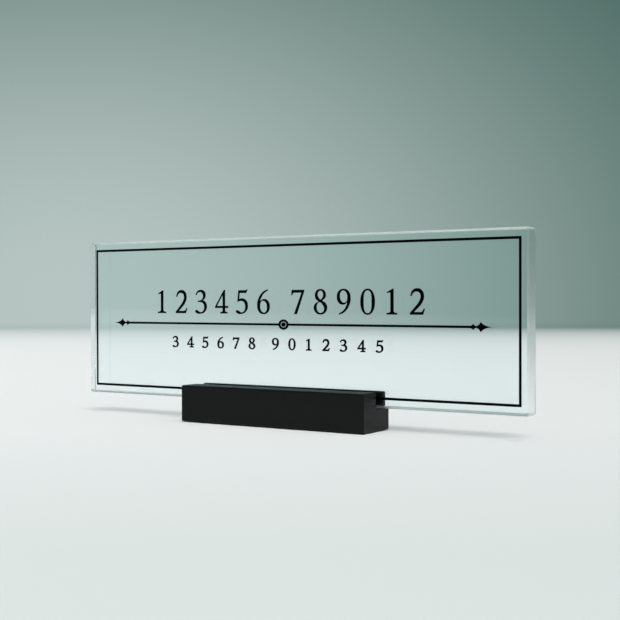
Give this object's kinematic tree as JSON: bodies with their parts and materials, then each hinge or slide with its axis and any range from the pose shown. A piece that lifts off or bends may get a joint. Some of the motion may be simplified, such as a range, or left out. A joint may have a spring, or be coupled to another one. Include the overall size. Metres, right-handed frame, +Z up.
{
  "type": "desk nameplate",
  "caption": "Clear chamfered acrylic plate with a printed frame, standing upright in the open slot of a short black base block.",
  "frame": {"origin": "on the desk below the middle of the base block, level with the undersides of the feet", "axes": "+Z up, +X along the plate towards the reader's right, +Y away from the reader, square to the plate"},
  "size_m": [0.25, 0.024, 0.091],
  "materials": {
    "black_satin": "satin, softened edges",
    "clear_acrylic": "clear, faintly green, polished faces and chamfers",
    "black_rubber": "matt",
    "black_ink": "screen-printed ink on the face of the plate"
  },
  "bodies": {
    "base": {"base_block": "black_satin", "foot_front_left": "black_rubber", "foot_front_right": "black_rubber", "foot_back_left": "black_rubber", "foot_back_right": "black_rubber"},
    "plate": {"name_plate": "clear_acrylic"}
  },
  "joints": [
    {"name": "plate_lift", "type": "slide", "parent": "base", "child": "plate", "axis": [0, 0, 1], "range_m": [0, 0.03]}
  ]
}
